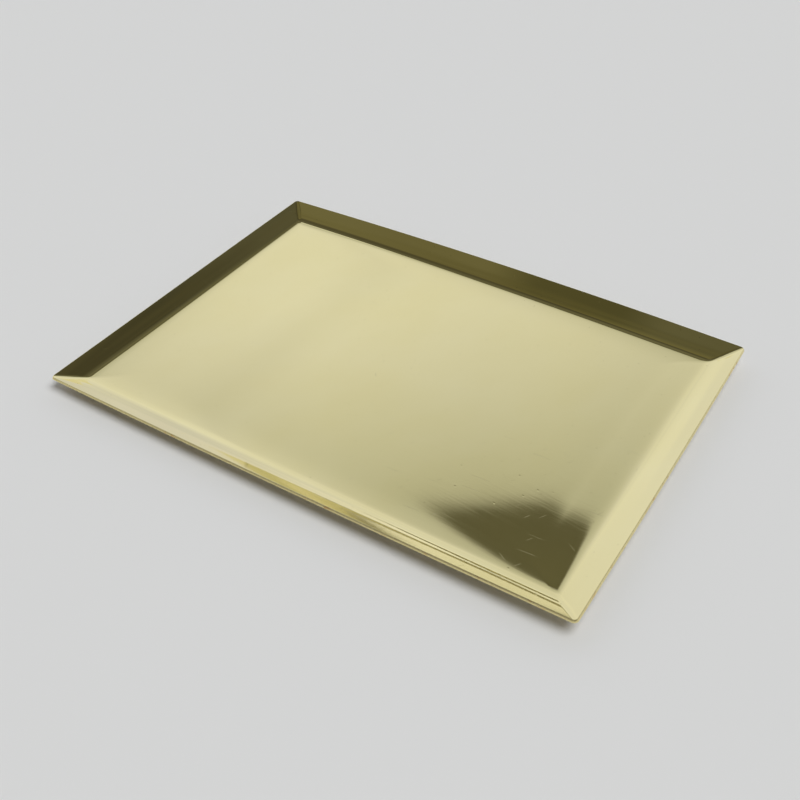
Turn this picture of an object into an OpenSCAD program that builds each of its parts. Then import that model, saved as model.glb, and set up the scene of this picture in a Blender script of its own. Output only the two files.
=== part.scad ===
// Shallow rectangular desk tray of polished brass, pressed from one thick sheet.
// The flat floor sweeps up on all four sides into a low flared rim, and neighbouring sides
// meet in mitred corners. The sheet keeps one thickness, and its cut edge stands square to it.
// The origin is at the middle of the flat underside: X along the length, Y along the width, Z up.

/* [Tray] */
// Length over the rim
tray_l = 180; // [100:1:320]
// Width over the rim
tray_w = 130; // [80:1:240]
// Height of the rim above the surface that the tray stands on
tray_h = 5.2; // [4.8:0.1:9]
// Thickness of the brass sheet
sheet_t = 1; // [0.6:0.1:1.4]

/* [Rim] */
// Radius of the sweep from the floor into the rim, on the upper face
sweep_r = 12; // [8:1:20]
// Slope of the straight flare above the sweep, in degrees
rim_slope = 28; // [22:1:30]
// Angle of the faint crease where the sweep ends and the flare starts, in degrees
crease = 2; // [1:0.5:3]
// Radius of the four corners, seen from above
corner_r = 2; // [1:0.5:6]

/* [Hidden] */
$fn = 96;

// How far the cuts run past the rim
overrun = 2;
// Angle at which the corner arcs run out on the straight edges, in degrees
corner_runout = 8;
// Distance of the centres of the corner arcs from those edges
corner_off = corner_r * cos(corner_runout);
// Height of the axis about which both faces of the sweep are struck
sweep_axis = sheet_t + sweep_r;

// Distance from that axis to the flare of the face whose sweep has radius r
function flare_off(r) = r - sweep_r * (1 - cos(crease));

// Distance in plan from the edge of the flat floor to where that flare has height z
function flare_run(r, z) = (flare_off(r) + (z - sweep_axis) * cos(rim_slope)) / sin(rim_slope);

// Half the span of the upper edge of the rim, whose cut edge leans out to the overall size
function top_half(size) = size / 2 - sheet_t * sin(rim_slope);

// Half the span of the flat floor
function floor_half(size) = top_half(size) - flare_run(sweep_r, tray_h);

// Section of everything above one face of the sheet: two flares and a floor, with the sweeps
// left standing between them
module above_face(size, r) {
    low = sweep_axis - r;
    high = tray_h + overrun;
    bend = floor_half(size) + flare_run(r, low);
    brim = floor_half(size) + flare_run(r, high);
    difference() {
        polygon([[-bend, low], [bend, low], [brim, high], [-brim, high]]);
        for (side = [0, 1])
            mirror([side, 0])
                translate([floor_half(size), sweep_axis])
                    difference() {
                        polygon([[0, 0], [0, -2 * r], [2 * r * tan(rim_slope), -2 * r]]);
                        circle(r = r);
                    }
    }
}

// Section between the underside and the cut edges, which stand square to the sheet
module edge_limits(size) {
    foot = top_half(size) + tray_h * tan(rim_slope);
    head = top_half(size) - overrun * tan(rim_slope);
    high = tray_h + overrun;
    polygon([[-foot, 0], [foot, 0], [head, high], [-head, high]]);
}

// Stands a section upright and draws it out along Y, both ways from the middle
module drawn_out(length) {
    rotate([90, 0, 0])
        linear_extrude(height = length, center = true)
            children();
}

// Section across a tray side of the given size, filled up to the rim
module filled_section(size) {
    intersection() {
        above_face(size, sweep_r + sheet_t);
        edge_limits(size);
    }
}

// The tray as if it were filled level with its rim
module filled_tray() {
    intersection() {
        drawn_out(tray_w + overrun)
            filled_section(tray_l);
        rotate(90)
            drawn_out(tray_l + overrun)
                filled_section(tray_w);
    }
}

// Everything above the upper face of the sheet
module hollow() {
    intersection() {
        drawn_out(tray_w + overrun)
            above_face(tray_l, sweep_r);
        rotate(90)
            drawn_out(tray_l + overrun)
                above_face(tray_w, sweep_r);
    }
}

// What is cut away outside the four rounded corners
module corner_waste() {
    for (x = [0, 1], y = [0, 1])
        mirror([x, 0])
            mirror([0, y])
                translate([tray_l / 2 - corner_off, tray_w / 2 - corner_off])
                    difference() {
                        square(2 * corner_r);
                        circle(r = corner_r);
                    }
}

module tray() {
    color("#cdbb7c")
        difference() {
            filled_tray();
            hollow();
            translate([0, 0, -overrun])
                linear_extrude(height = tray_h + 2 * overrun)
                    corner_waste();
        }
}

tray();
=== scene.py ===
import math
from collections import namedtuple

import bmesh
import bpy
from mathutils import Matrix, Vector


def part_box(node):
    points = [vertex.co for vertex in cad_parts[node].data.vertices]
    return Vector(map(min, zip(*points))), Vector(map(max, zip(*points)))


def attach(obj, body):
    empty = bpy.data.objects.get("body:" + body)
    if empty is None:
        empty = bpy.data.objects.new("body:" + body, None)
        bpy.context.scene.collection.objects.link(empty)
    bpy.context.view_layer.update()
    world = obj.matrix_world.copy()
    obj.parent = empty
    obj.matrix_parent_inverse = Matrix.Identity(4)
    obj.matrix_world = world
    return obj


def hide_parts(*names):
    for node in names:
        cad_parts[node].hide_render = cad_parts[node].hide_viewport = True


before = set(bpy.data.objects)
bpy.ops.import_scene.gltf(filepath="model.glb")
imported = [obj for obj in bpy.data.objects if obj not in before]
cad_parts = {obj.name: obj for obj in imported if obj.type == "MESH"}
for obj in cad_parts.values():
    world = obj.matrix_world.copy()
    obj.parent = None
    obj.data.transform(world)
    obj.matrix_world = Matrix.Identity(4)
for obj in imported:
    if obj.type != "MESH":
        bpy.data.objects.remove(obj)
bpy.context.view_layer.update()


# The tray's pressed sheet: one rectangle of 1 mm brass. The press holds the floor flat and draws
# all four sides up through a tight bend into a flare, and they meet in mitred corners. It presses
# a little unevenly and the sides bow out. Shearing left the lower arris rounder than the upper.
MM = 0.001
SHEET = 1.0 * MM
tray_low, tray_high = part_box("tray")

# The drawn band round the floor, and each change of slope across it: how many degrees, how far
# its middle lies from the rim, and how softly it comes on.
BAND = 24 * MM
FINE_STEP = 0.2 * MM
STEP_GROWTH = 12
BEND = (23.2, 7.75 * MM, 0.55 * MM)
SPRING_BACK = (2.4, 12.8 * MM, 1.8 * MM)
LIP = (3.6, 3.9 * MM, 0.3 * MM)
CREASE = (1.8, 5.6 * MM, 0.35 * MM)

UPPER_ARRIS = 0.12 * MM
LOWER_ARRIS = 0.38 * MM
ARRIS_SEGMENTS = 5
CORNER_RADIUS = 0.8 * MM
CORNER_SWELL = 0.9 * MM
SWELL_MIDDLE = 3.5 * MM
SWELL_REACH = 3.5 * MM
CORNER_SEGMENTS = 12
GRID = 4 * MM
SNAP = 0.01 * MM

# The press's unevenness: the bow of three sides, the sweep's wider run on the right and its
# narrower run on the left, and the share by which the near left corner's rim lies flatter.
NEAR_BOW, FAR_BOW, RIGHT_BOW = 0.6 * MM, 2.0 * MM, 0.3 * MM
RIGHT_EASE, EASE_MIDDLE = 5.6 * MM, 13.5 * MM
EASE_OUTWARD, EASE_INWARD = 4.2 * MM, 12 * MM
LEFT_PINCH, PINCH_MIDDLE, PINCH_REACH = 1.2 * MM, 8.5 * MM, 4.5 * MM
FLATTER, FLATTER_FROM = 0.42, 1.6 * MM

POLISHED, MILLED, CUT = 0, 1, 2
Station = namedtuple("Station", "inset drop base finish")


def settled(inset, degrees, middle, softness):
    """Goes softly from some degrees towards the rim to none towards the floor."""
    return degrees / (1 + math.exp((inset - middle) / softness))


def hump(distance, reach):
    """Goes softly from 1 in the middle to 0 on both sides."""
    return math.exp(-(distance / reach) ** 2)


def sweep_slope(inset):
    """Slope of the upper face at a distance in plan from the rim's upper edge.

    A tight bend parts the flare from the floor. The sheet sprang back a little beside it, the
    flare has a faint crease along it, and its lip is steeper.
    """
    degrees, middle, reach = CREASE
    crease = degrees * hump(inset - middle, reach)
    drawn = settled(inset, *BEND) + settled(inset, *SPRING_BACK) + settled(inset, *LIP)
    return math.radians(drawn + crease)


def sweep_profile():
    """Insets from the rim's upper edge and the drops below it, down to the flat floor."""
    insets = [0.0]
    while insets[-1] < BAND:
        step = FINE_STEP * (1 + STEP_GROWTH * (insets[-1] / BAND) ** 4)
        insets.append(insets[-1] + step)
    drops = [0.0]
    for near, far in zip(insets, insets[1:]):
        drops.append(drops[-1] + (far - near) * math.tan(sweep_slope((near + far) / 2)))
    rise = tray_high.z - SHEET
    return [(inset, drop * rise / drops[-1]) for inset, drop in zip(insets, drops)]


def arris(corner, start, end, radius, finish):
    """Stations round one arris of the cut edge, between two directions square to each other."""
    stations = []
    for step in range(ARRIS_SEGMENTS + 1):
        turn = math.pi / 2 * step / ARRIS_SEGMENTS
        place = corner + radius * (start * (1 - math.sin(turn)) + end * (1 - math.cos(turn)))
        stations.append(Station(place.x, place.y, 0.0, finish))
    return stations


def section():
    """The sheet's section: from the underside round the cut edge and back in to the floor.

    A station's base is the inset of the upper face across the sheet from it.
    """
    inward = Vector((math.cos(sweep_slope(0)), math.sin(sweep_slope(0))))
    down = Vector((-inward.y, inward.x))
    profile = sweep_profile()
    under = []
    for inset, drop in reversed(profile):
        slope = sweep_slope(inset)
        outer = inset - SHEET * math.sin(slope)
        if inset > LOWER_ARRIS:
            under.append(Station(outer, drop + SHEET * math.cos(slope), inset, MILLED))
    lower = arris(SHEET * down, inward, -down, LOWER_ARRIS, CUT)
    upper = arris(Vector((0, 0)), down, inward, UPPER_ARRIS, POLISHED)
    upper[0] = upper[0]._replace(finish=CUT)
    over = []
    for inset, drop in profile:
        if inset > UPPER_ARRIS:
            over.append(Station(inset, drop, inset, POLISHED))
    return under + lower + upper + over


margin = SHEET * math.sin(sweep_slope(0)) + NEAR_BOW
rim_half = Vector((tray_high.x - margin, tray_high.y - margin))


def corner_radius(station):
    """Radius of the mitred corners, seen from above, at one station of the section."""
    swell = CORNER_SWELL * hump(station.base - SWELL_MIDDLE, SWELL_REACH)
    return CORNER_RADIUS + swell + station.base - station.inset


def corner_centre(station, quadrant):
    """Middle of one rounded corner at one station of the section."""
    off = station.inset + corner_radius(station)
    x, y = quadrant
    return Vector((x * (rim_half.x - off), y * (rim_half.y - off), tray_high.z - station.drop))


def draw_on(sheet, outline, start, end):
    """Draws the outline at one station on to the next station of the section."""
    drawn = bmesh.ops.extrude_edge_only(sheet, edges=outline)["geom"]
    points = [part for part in drawn if isinstance(part, bmesh.types.BMVert)]
    for face in [part for part in drawn if isinstance(part, bmesh.types.BMFace)]:
        face.material_index = end.finish
    scale = corner_radius(end) / corner_radius(start)
    shrink = Matrix.Diagonal((scale, scale, 1, 1))
    for x, y in ((-1, -1), (1, -1), (1, 1), (-1, 1)):
        corner = [point for point in points if point.co.x * x > 0 and point.co.y * y > 0]
        back = Matrix.Translation(-corner_centre(start, (x, y)))
        out = Matrix.Translation(corner_centre(end, (x, y)))
        bmesh.ops.transform(sheet, matrix=out @ shrink @ back, verts=corner)
    return [part for part in drawn if isinstance(part, bmesh.types.BMEdge)]


def press_unevenly(place):
    """Moves one point of the even tray to where the uneven press leaves it."""
    along_x, along_y = place.x / rim_half.x, place.y / rim_half.y
    from_right = rim_half.x - place.x - EASE_MIDDLE
    from_left = rim_half.x + place.x - PINCH_MIDDLE
    ease_reach = EASE_OUTWARD if from_right < 0 else EASE_INWARD
    place.x -= RIGHT_EASE * hump(from_right, ease_reach) * (1 - along_y ** 4)
    place.x -= LEFT_PINCH * hump(from_left, PINCH_REACH)
    place.x += RIGHT_BOW * max(0, along_x) * (1 - along_y ** 2)
    place.y += (FAR_BOW if along_y > 0 else NEAR_BOW) * along_y * (1 - along_x ** 2)
    near_left = ((1 - along_x) * (1 - along_y) / 4) ** 2
    place.z -= FLATTER * near_left / (1 + near_left) * max(0, place.z - FLATTER_FROM)


stations = section()
first, last = stations[0], stations[-1]
sheet = bmesh.new()
bmesh.ops.create_grid(sheet, x_segments=1, y_segments=1, size=1)
underside = (rim_half.x - first.inset, rim_half.y - first.inset, 1)
bmesh.ops.scale(sheet, vec=underside, verts=sheet.verts)
bmesh.ops.translate(sheet, vec=(0, 0, tray_high.z - first.drop), verts=sheet.verts)
bmesh.ops.bevel(
    sheet, geom=sheet.verts[:], offset=corner_radius(first), affect="VERTICES",
    segments=CORNER_SEGMENTS, profile=0.5, material=-1)
for face in sheet.faces:
    face.material_index = MILLED
outline = sheet.edges[:]
for start, end in zip(stations, stations[1:]):
    outline = draw_on(sheet, outline, start, end)
floor = bmesh.ops.contextual_create(sheet, geom=outline)["faces"]
for face in floor:
    face.material_index = POLISHED
for axis in (0, 1):
    reach = rim_half[axis] - last.inset - corner_radius(last)
    cuts = round(2 * reach / GRID)
    for cut in range(cuts + 1):
        place = [0, 0, 0]
        place[axis] = -reach + 2 * reach * cut / cuts
        normal = [0, 0, 0]
        normal[axis] = 1
        bmesh.ops.bisect_plane(
            sheet, geom=sheet.verts[:] + sheet.edges[:] + sheet.faces[:],
            dist=SNAP, plane_co=place, plane_no=normal)
for point in sheet.verts:
    press_unevenly(point.co)
bmesh.ops.recalc_face_normals(sheet, faces=sheet.faces[:])
for face in sheet.faces:
    face.smooth = True
mesh = bpy.data.meshes.new("tray")
sheet.to_mesh(mesh)
sheet.free()
tray = bpy.data.objects.new("pressed_tray", mesh)
bpy.context.scene.collection.objects.link(tray)


# The tray's finish: the upper face is buffed bright along its length, the underside keeps the
# duller mill finish, and the cut edges are dulled and browned by handling. Fine wheel lines,
# stray hairlines, small nicks and faint smudges lie over the shine.
class Finish:
    """Node tree of one procedural metal, with lengths in millimetres."""

    def __init__(self, name):
        self.material = bpy.data.materials.new(name)
        self.material.use_nodes = True
        self.tree = self.material.node_tree
        self.shader = self.tree.nodes["Principled BSDF"]
        self.shader.inputs["Metallic"].default_value = 1
        coord = self.tree.nodes.new("ShaderNodeTexCoord")
        self.place = self.multiplied(coord.outputs["Object"], (1 / MM, 1 / MM, 1 / MM))

    def multiplied(self, place, factors):
        node = self.tree.nodes.new("ShaderNodeVectorMath")
        node.operation = "MULTIPLY"
        self.tree.links.new(place, node.inputs[0])
        node.inputs[1].default_value = factors
        return node.outputs[0]

    def stretched(self, turn, stretch):
        """Coordinates turned about Z by an angle in degrees and then scaled along each axis."""
        node = self.tree.nodes.new("ShaderNodeVectorRotate")
        node.rotation_type = "Z_AXIS"
        self.tree.links.new(self.place, node.inputs["Vector"])
        node.inputs["Angle"].default_value = math.radians(turn)
        return self.multiplied(node.outputs[0], stretch)

    def noise(self, place, detail, roughness=0.5):
        node = self.tree.nodes.new("ShaderNodeTexNoise")
        self.tree.links.new(place, node.inputs["Vector"])
        node.inputs["Scale"].default_value = 1
        node.inputs["Detail"].default_value = detail
        node.inputs["Roughness"].default_value = roughness
        return node.outputs["Fac"]

    def levels(self, value, low, high, bottom=0, top=1):
        """Spreads a value so that two of its levels become a bottom and a top."""
        node = self.tree.nodes.new("ShaderNodeMapRange")
        self.tree.links.new(value, node.inputs["Value"])
        node.inputs["From Min"].default_value = low
        node.inputs["From Max"].default_value = high
        node.inputs["To Min"].default_value = bottom
        node.inputs["To Max"].default_value = top
        return node.outputs[0]

    def combine(self, operation, first, second):
        node = self.tree.nodes.new("ShaderNodeMath")
        node.operation = operation
        for socket, value in zip(node.inputs, (first, second)):
            if isinstance(value, (int, float)):
                socket.default_value = value
            else:
                self.tree.links.new(value, socket)
        return node.outputs[0]

    def blend(self, factor, first, second):
        node = self.tree.nodes.new("ShaderNodeMix")
        node.data_type = "RGBA"
        self.tree.links.new(factor, node.inputs["Factor"])
        for socket, colour in zip((node.inputs["A"], node.inputs["B"]), (first, second)):
            if isinstance(colour, tuple):
                socket.default_value = (*colour, 1)
            else:
                self.tree.links.new(colour, socket)
        return node.outputs["Result"]

    def bump(self, height, depth, under=None):
        """Bump of a height map from 0 to 1, whose full depth is in millimetres."""
        node = self.tree.nodes.new("ShaderNodeBump")
        node.inputs["Strength"].default_value = 1
        node.inputs["Distance"].default_value = depth * MM
        self.tree.links.new(height, node.inputs["Height"])
        if under is not None:
            self.tree.links.new(under, node.inputs["Normal"])
        return node.outputs[0]

    def scatter(self, turn, half_length, half_width, share):
        """Stray marks: a long or round speck in a small share of a scatter's cells.

        A speck fills a set part of its cell, so that no cell's wall cuts it.
        """
        fill = 0.35
        place = self.stretched(turn, (fill / half_length, fill / half_width, 0.1))
        node = self.tree.nodes.new("ShaderNodeTexVoronoi")
        self.tree.links.new(place, node.inputs["Vector"])
        node.inputs["Scale"].default_value = 1
        node.inputs["Randomness"].default_value = 0.7
        speck = self.levels(node.outputs["Distance"], fill * 0.3, fill, 1, 0)
        cell = self.tree.nodes.new("ShaderNodeSeparateColor")
        self.tree.links.new(node.outputs["Color"], cell.inputs[0])
        chosen = self.levels(cell.outputs[0], 1 - share, 1 - share * 0.5)
        return self.combine("MULTIPLY", speck, chosen)

    def finish(self, colour, roughness, normal):
        self.tree.links.new(colour, self.shader.inputs["Base Color"])
        self.tree.links.new(roughness, self.shader.inputs["Roughness"])
        self.tree.links.new(normal, self.shader.inputs["Normal"])
        return self.material


def polished_brass():
    """Buffed upper face: wheel lines, hairlines, nicks, pits, smudges and a very slight wave."""
    brass = Finish("polished_brass")
    buffing = brass.noise(brass.stretched(5, (0.10, 1.5, 0.5)), 3, 0.62)
    smudge = brass.noise(brass.stretched(24, (0.03, 0.02, 0.03)), 3, 0.55)
    waves = brass.noise(brass.stretched(0, (0.045, 0.06, 0.05)), 1)
    lengthwise = brass.scatter(-3, 4.0, 0.06, 0.014)
    slanted = brass.scatter(33, 1.8, 0.06, 0.010)
    steep = brass.scatter(-58, 1.3, 0.06, 0.010)
    scratched = brass.combine("MAXIMUM", brass.combine("MAXIMUM", lengthwise, slanted), steep)
    dents = brass.scatter(50, 0.55, 0.22, 0.010)
    pits = brass.scatter(10, 0.16, 0.13, 0.0025)
    handled = brass.levels(smudge, 0.35, 0.65)
    tone = brass.blend(handled, (0.90, 0.82, 0.44), (0.885, 0.80, 0.41))
    bright = brass.blend(brass.combine("MULTIPLY", scratched, 0.3), tone, (0.95, 0.90, 0.66))
    colour = brass.blend(pits, bright, (0.20, 0.15, 0.06))
    wear = brass.combine("MULTIPLY", brass.combine("MAXIMUM", scratched, pits), 0.15)
    shine = brass.combine("ADD", brass.levels(smudge, 0.3, 0.7, 0.03, 0.055), wear)
    gloss = brass.combine("ADD", shine, brass.levels(buffing, 0.3, 0.7, 0.0, 0.02))
    marks = brass.combine("MAXIMUM", brass.combine("MULTIPLY", scratched, 0.2), dents)
    swell = brass.bump(waves, 0.01)
    lines = brass.bump(buffing, 0.0016, swell)
    normal = brass.bump(brass.combine("SUBTRACT", 1.0, marks), 0.012, lines)
    return brass.finish(colour, gloss, normal)


def mill_brass():
    """Underside as it came from the rolls: a fine grain along the length, lightly stained."""
    brass = Finish("mill_brass")
    grain = brass.noise(brass.stretched(0, (0.12, 6, 1)), 3, 0.6)
    stain = brass.noise(brass.stretched(15, (0.05, 0.07, 0.05)), 4, 0.6)
    colour = brass.blend(brass.levels(stain, 0.3, 0.7), (0.74, 0.65, 0.42), (0.64, 0.54, 0.34))
    dulled = brass.levels(stain, 0.4, 0.7, 0, 0.06)
    gloss = brass.combine("ADD", brass.levels(grain, 0.3, 0.7, 0.22, 0.32), dulled)
    return brass.finish(colour, gloss, brass.bump(grain, 0.002))


def cut_brass():
    """Sheared edge: short tear marks, browned here and there by handling."""
    brass = Finish("cut_brass")
    shear = brass.noise(brass.stretched(0, (2.2, 2.2, 0.6)), 2, 0.6)
    tarnish = brass.noise(brass.stretched(0, (0.35, 0.35, 0.35)), 3, 0.65)
    browned = brass.levels(tarnish, 0.57, 0.68)
    colour = brass.blend(browned, (0.90, 0.79, 0.40), (0.76, 0.52, 0.22))
    dulled = brass.combine("MULTIPLY", browned, 0.1)
    gloss = brass.combine("ADD", brass.levels(shear, 0.3, 0.7, 0.16, 0.30), dulled)
    return brass.finish(colour, gloss, brass.bump(shear, 0.006))


mesh.materials.append(polished_brass())
mesh.materials.append(mill_brass())
mesh.materials.append(cut_brass())
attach(tray, "root")
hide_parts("tray")


# Table: a plain pale top that the tray lies on, matt enough to mirror nothing.
TABLE_HALF = 4000 * MM
top = bmesh.new()
bmesh.ops.create_grid(top, x_segments=1, y_segments=1, size=TABLE_HALF)
table_mesh = bpy.data.meshes.new("table_top")
top.to_mesh(table_mesh)
top.free()
table = bpy.data.objects.new("table_top", table_mesh)
bpy.context.scene.collection.objects.link(table)
paint = bpy.data.materials.new("pale_paint")
paint.use_nodes = True
paint_shader = paint.node_tree.nodes["Principled BSDF"]
paint_shader.inputs["Base Color"].default_value = (0.84, 0.85, 0.865, 1)
paint_shader.inputs["Roughness"].default_value = 0.75
paint_shader.inputs["Specular IOR Level"].default_value = 0.2
table_mesh.materials.append(paint)


# Studio: a wide pale screen stands to the far left of the tray and faces it, in a dim room. It
# darkens towards its top and has one faint slanting fold. The tray's near right corner mirrors
# the dark wall over the screen's uneven edge. Seen directly, all this is one plain backdrop.
SCREEN_TURN = math.radians(35)
world = bpy.data.worlds.new("studio")
bpy.context.scene.world = world
world.use_nodes = True
sky = world.node_tree
sky.nodes.clear()
look = sky.nodes.new("ShaderNodeTexCoord")


def along(direction):
    """How far the viewed direction goes along another one."""
    node = sky.nodes.new("ShaderNodeVectorMath")
    node.operation = "DOT_PRODUCT"
    sky.links.new(look.outputs["Generated"], node.inputs[0])
    node.inputs[1].default_value = direction
    return node.outputs["Value"]


def reckoned(operation, first, second):
    """One sum on two values, each a number or a socket."""
    node = sky.nodes.new("ShaderNodeMath")
    node.operation = operation
    for socket, value in zip(node.inputs, (first, second)):
        if isinstance(value, (int, float)):
            socket.default_value = value
        else:
            sky.links.new(value, socket)
    return node.outputs[0]


def eased(value, low, high, top):
    """Goes smoothly from 0 to a top value between two values, which may run downwards."""
    node = sky.nodes.new("ShaderNodeMapRange")
    node.interpolation_type = "SMOOTHSTEP"
    sky.links.new(value, node.inputs["Value"])
    node.inputs["From Min"].default_value = low
    node.inputs["From Max"].default_value = high
    node.inputs["To Max"].default_value = top
    return node.outputs[0]


def graded(value, stops):
    """Colours at given values, blended in between."""
    low, high = stops[0][0], stops[-1][0]
    spread = sky.nodes.new("ShaderNodeMapRange")
    sky.links.new(value, spread.inputs["Value"])
    spread.inputs["From Min"].default_value = low
    spread.inputs["From Max"].default_value = high
    ramp = sky.nodes.new("ShaderNodeValToRGB")
    sky.links.new(spread.outputs[0], ramp.inputs[0])
    elements = ramp.color_ramp.elements
    while len(elements) < len(stops):
        elements.new(0.5)
    for element, (place, colour) in zip(elements, stops):
        element.position = (place - low) / (high - low)
        element.color = (*colour, 1)
    return ramp.outputs[0]


def mixed(factor, first, second, way="MIX"):
    """Mixes two colours, each a tuple or a socket."""
    node = sky.nodes.new("ShaderNodeMix")
    node.data_type = "RGBA"
    node.blend_type = way
    for name, value in (("Factor", factor), ("A", first), ("B", second)):
        socket = node.inputs[name]
        if isinstance(value, tuple):
            socket.default_value = (*value, 1)
        elif isinstance(value, (int, float)):
            socket.default_value = value
        else:
            sky.links.new(value, socket)
    return node.outputs["Result"]


def tinted(colour, *tints):
    """A colour multiplied by one tint after another."""
    for tint in tints:
        colour = mixed(1, colour, tint, "MULTIPLY")
    return colour


rise = along((0, 0, 1))
depth = along((-math.sin(SCREEN_TURN), math.cos(SCREEN_TURN), 0))
side = along((math.cos(SCREEN_TURN), math.sin(SCREEN_TURN), 0))
ahead = reckoned("MAXIMUM", depth, 0.001)
height = reckoned("DIVIDE", rise, ahead)
across = reckoned("DIVIDE", side, ahead)
raised = reckoned("ADD", eased(across, 0.24, 0.52, 0.10), eased(across, 0.10, -0.40, 0.34))
white = graded(height, (
    (0.0, (0.98, 0.97, 1.00)),
    (0.05, (0.95, 0.95, 1.00)),
    (0.10, (0.84, 0.85, 0.92)),
    (0.70, (0.80, 0.81, 0.88)),
    (0.78, (0.74, 0.75, 0.82)),
    (1.03, (0.52, 0.53, 0.54)),
    (1.10, (0.60, 0.61, 0.62)),
    (1.20, (0.72, 0.73, 0.75)),
    (1.4, (0.75, 0.76, 0.78))))
fading = graded(across, (
    (-1.0, (0.86, 0.86, 0.88)),
    (-0.30, (0.93, 0.93, 0.95)),
    (-0.05, (1.0, 1.0, 1.0)),
    (0.15, (0.95, 0.95, 0.95)),
    (0.25, (0.94, 0.94, 0.93)),
    (0.35, (0.89, 0.89, 0.87)),
    (1.0, (0.80, 0.80, 0.77))))
to_fold = reckoned(
    "ADD", reckoned("MULTIPLY", across, 0.66), reckoned("MULTIPLY", height, 0.751))
fold = graded(to_fold, (
    (0.465, (1.0, 1.0, 1.0)),
    (0.508, (0.95, 0.95, 0.95)),
    (0.55, (1.0, 1.0, 1.0))))
shaded_foot = graded(across, (
    (-0.2, (1.0, 1.0, 1.0)),
    (-0.1, (0.78, 0.78, 0.84)),
    (0.0, (0.73, 0.73, 0.80)),
    (0.28, (1.0, 1.0, 1.0))))
foot = mixed(eased(height, 0.32, 0.02, 1), (1.0, 1.0, 1.0), shaded_foot)
lit = tinted(white, fading, fold, foot)
cloud = sky.nodes.new("ShaderNodeTexNoise")
sky.links.new(look.outputs["Generated"], cloud.inputs["Vector"])
cloud.inputs["Scale"].default_value = 3.0
cloud.inputs["Detail"].default_value = 2
clutter = graded(cloud.outputs["Fac"], (
    (0.3, (0.80, 0.79, 0.76)),
    (0.5, (1.0, 1.0, 1.0)),
    (0.7, (1.25, 1.22, 1.10))))
wall = graded(height, (
    (1.03, (0.070, 0.067, 0.046)),
    (1.15, (0.084, 0.081, 0.056)),
    (1.7, (0.088, 0.085, 0.066)),
    (2.2, (0.051, 0.048, 0.034)),
    (2.65, (0.047, 0.042, 0.028)),
    (2.8, (0.100, 0.092, 0.048))))
nearer = graded(across, (
    (0.5, (1.5, 1.5, 1.5)),
    (1.0, (1.0, 1.0, 1.0))))
over_screen = graded(reckoned("SUBTRACT", height, raised), (
    (1.025, (0.0, 0.0, 0.0)),
    (1.055, (1.0, 1.0, 1.0))))
front = mixed(over_screen, lit, tinted(wall, nearer, clutter))
room = graded(rise, (
    (0.0, (0.72, 0.72, 0.72)),
    (0.30, (0.60, 0.60, 0.59)),
    (0.50, (0.26, 0.255, 0.22)),
    (0.70, (0.180, 0.170, 0.118)),
    (1.0, (0.172, 0.162, 0.112))))
beam = graded(along((1, 0, 0)), (
    (-0.6, (1.05, 1.05, 1.05)),
    (-0.37, (0.95, 0.94, 0.85)),
    (-0.335, (0.42, 0.42, 0.34)),
    (-0.265, (0.42, 0.42, 0.34)),
    (-0.235, (0.66, 0.67, 0.66)),
    (0.3, (0.80, 0.80, 0.80))))
beams = mixed(eased(rise, 0.6, 0.8, 1), (1.0, 1.0, 1.0), beam)
behind = graded(along((0.532, -0.847, 0)), (
    (0.05, (1.0, 1.0, 1.0)),
    (0.5, (0.45, 0.44, 0.43))))
back = tinted(room, behind, beams, clutter)
ahead_share = graded(depth, (
    (0.1, (0.0, 0.0, 0.0)),
    (0.4, (1.0, 1.0, 1.0))))
studio = mixed(ahead_share, back, front)
seen = sky.nodes.new("ShaderNodeLightPath")
shown = mixed(seen.outputs["Is Camera Ray"], studio, (0.685, 0.69, 0.685))
background = sky.nodes.new("ShaderNodeBackground")
sky.links.new(shown, background.inputs["Color"])
output = sky.nodes.new("ShaderNodeOutputWorld")
sky.links.new(background.outputs[0], output.inputs["Surface"])


# Light: one large soft key high on the right draws the close shadow under the tray's near side.
# It is kept out of the mirrored picture, where only the screen and the room show.
key = bpy.data.lights.new("key", "SUN")
key.energy = 1.85
key.angle = math.radians(48)
lamp = bpy.data.objects.new("key", key)
bpy.context.scene.collection.objects.link(lamp)
lamp.rotation_euler = Vector((0.4, 0.1, 1.0)).to_track_quat("Z", "Y").to_euler()
lamp.visible_glossy = False


# Camera: above the tray's near right corner, looking down across the floor to the far left.
# Everything is in focus.
camera_data = bpy.data.cameras.new("camera")
camera_data.lens = 46.6
camera_data.sensor_width = 36
camera_data.clip_start = 0.01
camera_data.dof.use_dof = False
camera = bpy.data.objects.new("camera", camera_data)
bpy.context.scene.collection.objects.link(camera)
camera.location = Vector((135.7, -218.3, 206.8)) * MM
aim = Vector((9.2, -16.7, 5.2)) * MM
camera.rotation_euler = (aim - camera.location).to_track_quat("-Z", "Y").to_euler()
bpy.context.scene.camera = camera
bpy.context.scene.view_settings.view_transform = "Standard"
